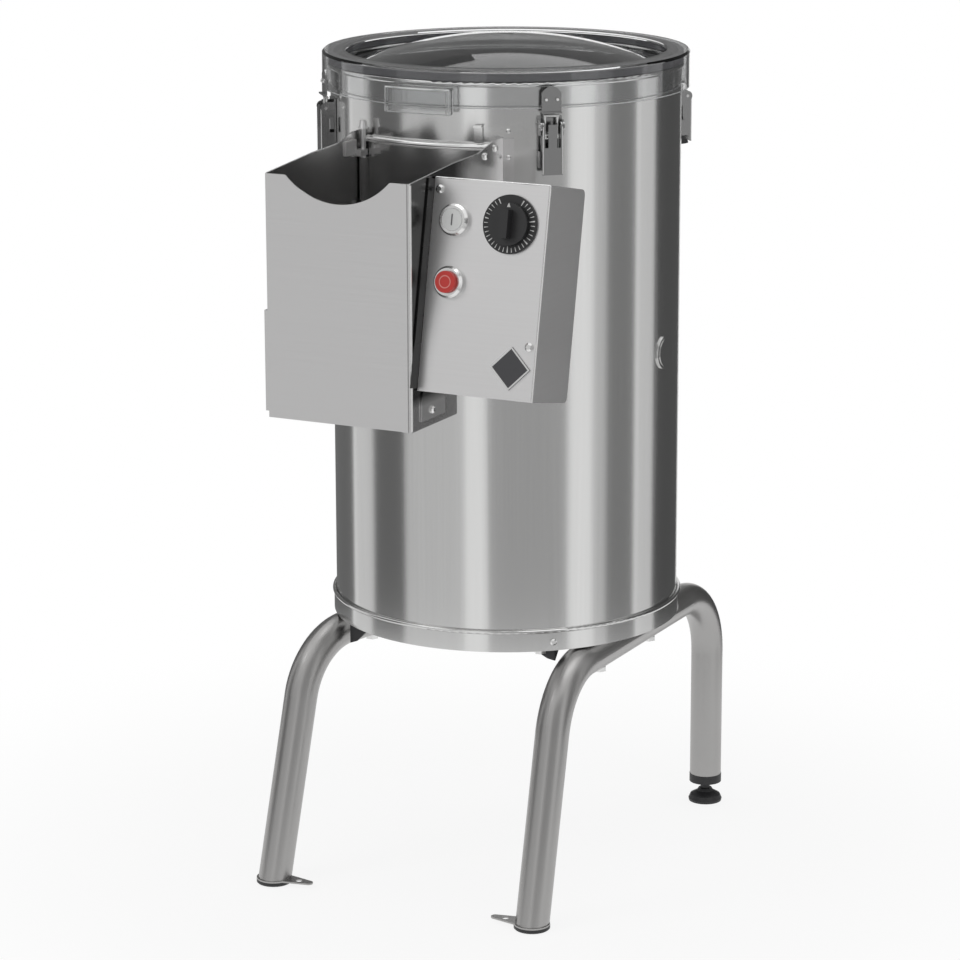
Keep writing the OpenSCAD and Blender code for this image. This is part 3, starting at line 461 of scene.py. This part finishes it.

# Rivet heads on each strike, and the rolled edges of each lever, in a near-white steel that paints a
# highlight on them, in the latch's own frame: X out from the drum's axis, Y along the drum
painted_glint_steel = metal("painted_glint_steel", (0.99, 0.99, 0.985), 0.50, (300, 300, 300), grain=0.04)
drum_r, pivot_z, strike_z = 0.175, 0.781, 0.8064
lever_x = drum_r + 0.0145
lever_half, lever_length = 0.0094, 0.0450
strike_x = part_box("lid_shell")[1].x - axis_at.x + 0.0016
rivet_half, rivet_height = 0.0055, 0.0022
for number, turn in enumerate((310, 40, 130, 220), start=1):
    latch_frame = drum_frame @ Matrix.Rotation(math.radians(turn), 4, "Z")
    for side, hand in ((-1, "left"), (1, "right")):
        rivet_y, edge_y = side * rivet_half, side * lever_half
        fold_line(f"strike_rivet_{number}_{hand}", painted_glint_steel, (strike_x, rivet_y, strike_z),
                  (strike_x + rivet_height, rivet_y, strike_z), 0.0020, latch_frame, body="lid")
        fold_line(f"lever_edge_{number}_{hand}", painted_glint_steel,
                  (lever_x, edge_y, pivot_z - lever_length), (lever_x, edge_y, pivot_z), 0.0009, latch_frame,
                  body=f"lever_{number}")

# Shafts, bearings, the motor's plate and the cast parts of the drive
turned_steel = metal("turned_steel", (0.60, 0.60, 0.60), 0.28, (500, 500, 40))
finish_nodes(turned_steel, "bearings", "main_shaft", "motor_shaft", "motor_plate")
cast_grey = metal("cast_grey", (0.55, 0.55, 0.56), 0.5, (260, 260, 260), bump=0.3)
finish_nodes(cast_grey, "bearing_housing", "large_pulley", "small_pulley")


# ---- Mouldings, rubber and grit ----
# Black and grey plastic for what is moulded, soft rubber for what seals or drives, and the
# coarse grit that lines the chamber and covers the disc.
def moulded(name, base, rough, bump=0.04, scale=700):
    """A surface that isn't metal, with an even fine grain."""
    return metal(name, base, rough, (scale, scale, scale), grain=0.15, cloud=0.12, bump=bump, metallic=0.0)


black_plastic = moulded("black_plastic", (0.022, 0.022, 0.024), 0.42)
finish_nodes(black_plastic, "terminal_box", "inlet_elbow", "cable_gland", "wire_conduit", "tube_plugs",
             "levelling_foot")
dial_black = moulded("dial_black", (0.014, 0.014, 0.015), 0.38)
finish_nodes(dial_black, "timer_dial")
knob_black = moulded("knob_black", (0.020, 0.020, 0.021), 0.36)
finish_nodes(knob_black, "timer_knob")
grey_plastic = moulded("grey_plastic", (0.19, 0.19, 0.20), 0.45)
finish_nodes(grey_plastic, "contact_blocks", "timer_body")
black_rubber = moulded("black_rubber", (0.018, 0.018, 0.018), 0.7, bump=0.12)
finish_nodes(black_rubber, "shaft_seal", "drive_belt")
grey_rubber = moulded("grey_rubber", (0.16, 0.16, 0.17), 0.65, bump=0.1)
finish_nodes(grey_rubber, "rim_gasket", "door_seal")
dark_enamel = moulded("dark_enamel", (0.05, 0.05, 0.055), 0.4)
finish_nodes(dark_enamel, "motor_housing")
grit = moulded("abrasive_grit", (0.035, 0.035, 0.038), 0.85, bump=0.9, scale=450)
finish_nodes(grit, "abrasive_liner", "peeling_disc")


# ---- Lid ----
# One clear moulding that the drum's rim, gasket and chamber show through. Its grip is
# moulded on at the front, and the light that its cut edges and the skirt's foot catch is painted on as pale
# lines.
def clear_plastic(name, clear):
    """Clear plastic, polished, with a light scuff: clear is the share of light that passes."""
    mat = bpy.data.materials.new(name)
    mat.use_nodes = True
    tree = mat.node_tree
    bsdf = tree.nodes["Principled BSDF"]
    bsdf.inputs["Base Color"].default_value = (0.965, 0.97, 0.972, 1)
    bsdf.inputs["Transmission Weight"].default_value = clear
    bsdf.inputs["IOR"].default_value = 1.45
    coords = tree.nodes.new("ShaderNodeTexCoord")
    scuff = tree.nodes.new("ShaderNodeTexNoise")
    scuff.inputs["Scale"].default_value = 24
    rough = tree.nodes.new("ShaderNodeMapRange")
    rough.inputs["To Min"].default_value = 0.0
    rough.inputs["To Max"].default_value = 0.035
    tree.links.new(coords.outputs["Object"], scuff.inputs["Vector"])
    tree.links.new(scuff.outputs[0], rough.inputs["Value"])
    tree.links.new(rough.outputs[0], bsdf.inputs["Roughness"])
    return mat


lid_clear = clear_plastic("clear_plastic", 1.0)
finish_nodes(lid_clear, "lid_shell")
grip_clear = clear_plastic("grip_clear", 0.96)
finish_nodes(grip_clear, "lid_grip")

# The skirt's lower edge is drawn as a thin pale ring round the drum: painted highlight for the light that the
# clear skirt's foot catches
lid_lo, lid_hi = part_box("lid_shell")
lid_r = (lid_hi.x - lid_lo.x) / 2
skirt_line_r, skirt_line_squash = 0.0006, 0.8
edge_highlight_white = moulded("edge_highlight_white", (0.94, 0.95, 0.95), 0.20, bump=0.01)
bpy.ops.mesh.primitive_torus_add(major_radius=lid_r - skirt_line_r, minor_radius=skirt_line_r, major_segments=160,
                                 minor_segments=8, location=(0, 0, 0))
skirt_line = bpy.context.object
skirt_line.name = "skirt_highlight_line"
bpy.ops.object.mode_set(mode="EDIT")
bpy.ops.mesh.select_all(action="SELECT")
bpy.ops.transform.resize(value=(1, 1, skirt_line_squash))
bpy.ops.object.mode_set(mode="OBJECT")
settle(skirt_line, edge_highlight_white, "lid",
       Matrix.Translation(axis_at + Vector((0, 0, lid_lo.z + skirt_line_r))))

# Pale lines along the grip's foot, its top and both of its ends, as pale as the skirt's ring: painted
# highlight on the clear grip's edges
grip_lo, grip_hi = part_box("lid_grip")
grip_r = lid_r + 0.0099
grip_turns = (-100.2, -93.4, -86.6, -79.8)
grip_points = [(grip_r * math.cos(math.radians(turn)), grip_r * math.sin(math.radians(turn)))
               for turn in grip_turns]
foot_z, top_z, end_z = grip_lo.z + 0.0006, grip_hi.z - 0.0012, grip_hi.z - 0.001
for name, height, width in (("grip_foot", foot_z, 0.0007), ("grip_top", top_z, 0.0012)):
    for step, (near, far) in enumerate(zip(grip_points, grip_points[1:])):
        fold_line(f"{name}_{step + 1}", edge_highlight_white, (*near, height), (*far, height),
                  width, drum_frame, body="lid")
for name, end in (("grip_end_left", grip_points[0]), ("grip_end_right", grip_points[-1])):
    fold_line(name, edge_highlight_white, (*end, foot_z), (*end, end_z), 0.0007, drum_frame,
              body="lid")


# ---- Control panel ----
# The box's folded cover leans, and carries two buttons, a timer and a bare plate. What is
# laid on its face is placed from its top left corner: X across, Y into the box, Z up its slope.
box_lean = math.radians(11.4)
box_length = 0.197
cover_lo, cover_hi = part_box("box_cover")
panel_frame = (Matrix.Translation((cover_lo.x, cover_lo.y + box_length * math.sin(box_lean), cover_hi.z))
               @ Matrix.Rotation(-box_lean, 4, "X"))
box_width = cover_hi.x - cover_lo.x
fold_r, fold_in, fold_end = 0.0013, 0.0004, 0.001
# The box's top and side folds in the same paler, glossier steel as the chute's folds: painted highlight lines
# along its edges
fold_line("box_fold_top", fold_highlight_steel, (fold_end, fold_in, -fold_in),
          (box_width - fold_end, fold_in, -fold_in), fold_r, panel_frame)
fold_line("box_fold_side", fold_highlight_steel, (box_width - fold_r, fold_in, -fold_end),
          (box_width - fold_r, fold_in, fold_end - box_length), fold_r, panel_frame)
button_u = 0.024
button_rows = (0.038, 0.095)
dial_u = 0.0805


def join_pieces(name, pieces):
    """Join pieces into the first of them."""
    bpy.ops.object.select_all(action="DESELECT")
    for piece in pieces:
        piece.select_set(True)
    bpy.context.view_layer.objects.active = pieces[0]
    bpy.ops.object.join()
    pieces[0].name = pieces[0].data.name = name
    return pieces[0]


mark_white = moulded("mark_white", (0.72, 0.72, 0.71), 0.5)
mark_grey = moulded("mark_grey", (0.16, 0.16, 0.17), 0.5)
button_white = moulded("button_white", (0.80, 0.81, 0.80), 0.28, bump=0.02)
button_red = moulded("button_red", (0.60, 0.030, 0.022), 0.28, bump=0.02)
mark_pale_red = moulded("mark_pale_red", (0.78, 0.28, 0.25), 0.35)
finish_nodes(button_white, "start_button")
finish_nodes(button_red, "stop_button")

def on_face(u, v, proud, turn=0):
    """The place of a piece that was made lying flat: u across the face, v down it, proud of it."""
    return (Matrix.Translation((u, -proud, -v)) @ Matrix.Rotation(math.radians(turn), 4, "Y")
            @ Matrix.Rotation(math.radians(90), 4, "X"))


# Graduations: thin strokes that taper towards the dial's middle, with a gap at the top
dial_r, dial_edge, dial_proud = 0.027, 0.0014, 0.00245
stroke_depth, stroke_taper = 0.0003, 0.45
first_turn, turn_step, stroke_count = 30, 10, 31


def dial_stroke(width, length):
    middle = dial_r - dial_edge - length / 2
    bpy.ops.mesh.primitive_cube_add(size=1, location=(0, 0, middle))
    stroke = bpy.context.object
    stroke.scale = (width, stroke_depth, length)
    bpy.ops.object.transform_apply(location=True, rotation=True, scale=True)
    bpy.ops.object.mode_set(mode="EDIT")
    pick_verts(stroke.data, lambda at: at.z < middle)
    bpy.ops.transform.resize(value=(stroke_taper, 1, 1), center_override=(0, 0, middle))
    bpy.ops.object.mode_set(mode="OBJECT")
    return stroke


long_stroke, short_stroke = dial_stroke(0.0012, 0.0056), dial_stroke(0.0008, 0.0042)
strokes = []
for step in range(stroke_count):
    stroke = (long_stroke if step % 5 == 0 else short_stroke).copy()
    stroke.data = stroke.data.copy()
    scene.collection.objects.link(stroke)
    stroke.data.transform(Matrix.Translation((dial_u, -dial_proud, -button_rows[0]))
                          @ Matrix.Rotation(math.radians(first_turn + step * turn_step), 4, "Y"))
    strokes.append(stroke)
bpy.data.objects.remove(long_stroke)
bpy.data.objects.remove(short_stroke)
graduations = join_pieces("dial_graduations", strokes)
settle(graduations, mark_white, "machine", panel_frame)

# Pointer: a small bevelled arrowhead let into the knob's face, pointing at the top of the dial
pointer_r, pointer_up = 0.0021, 0.0165
bpy.ops.mesh.primitive_cylinder_add(vertices=3, radius=pointer_r, depth=0.0005)
pointer = bpy.context.object
pointer.name = "knob_pointer"
bpy.ops.object.mode_set(mode="EDIT")
pick_verts(pointer.data, lambda at: at.y > pointer_r / 2)
bpy.ops.transform.translate(value=(0, 0.0008, 0))
bpy.ops.object.mode_set(mode="OBJECT")
pointer.matrix_world = on_face(dial_u, button_rows[0] - pointer_up, 0.0071)
settle(pointer, mark_white, "timer", panel_frame, bevel=0.0001)

# Plain marks on the two caps: a bar with rounded ends, and a flat ring
bar_r, bar_reach = 0.0007, 0.0046
bpy.ops.mesh.primitive_cylinder_add(vertices=32, radius=bar_r, depth=0.0004)
bar = bpy.context.object
bar.name = "start_mark"
bpy.ops.object.mode_set(mode="EDIT")
for way in (1, -1):
    pick_verts(bar.data, lambda at: at.y * way > 0.00001)
    bpy.ops.transform.translate(value=(0, way * bar_reach, 0))
bpy.ops.object.mode_set(mode="OBJECT")
bar.matrix_world = on_face(button_u, button_rows[0], 0.00705)
settle(bar, mark_grey, "start", panel_frame, bevel=0.0001)


def raised_rim(name, width, height):
    """Make the flat face that was just added a rim of this width and height, open in its middle."""
    rim = bpy.context.object
    rim.name = name
    bpy.ops.object.mode_set(mode="EDIT")
    bpy.ops.mesh.select_all(action="SELECT")
    bpy.ops.mesh.inset(thickness=width)
    bpy.ops.mesh.delete(type="FACE")
    bpy.ops.mesh.select_all(action="SELECT")
    bpy.ops.mesh.extrude_region_move(TRANSFORM_OT_translate={"value": (0, 0, height)})
    bpy.ops.mesh.select_all(action="SELECT")
    bpy.ops.mesh.normals_make_consistent(inside=False)
    bpy.ops.object.mode_set(mode="OBJECT")
    return rim


bpy.ops.mesh.primitive_circle_add(vertices=72, radius=0.0060, fill_type="NGON")
ring_mark = raised_rim("stop_mark", 0.0009, 0.0003)
ring_mark.matrix_world = on_face(button_u, button_rows[1], 0.01035)
settle(ring_mark, mark_pale_red, "stop", panel_frame)

# Badge: a bare dark plate inside a raised bright edge, set on its corner
badge_dark = metal("badge_dark", (0.10, 0.10, 0.105), 0.25, (60, 60, 60), bump=0.01)
finish_nodes(badge_dark, "badge_plate")
badge_u, badge_v, badge_side = 0.093, 0.168, 0.028
bpy.ops.mesh.primitive_plane_add(size=badge_side)
badge_edge = raised_rim("badge_edge", 0.0013, 0.0006)
badge_edge.matrix_world = on_face(badge_u, badge_v, 0.0012, turn=45)
settle(badge_edge, bright_steel, "machine", panel_frame)
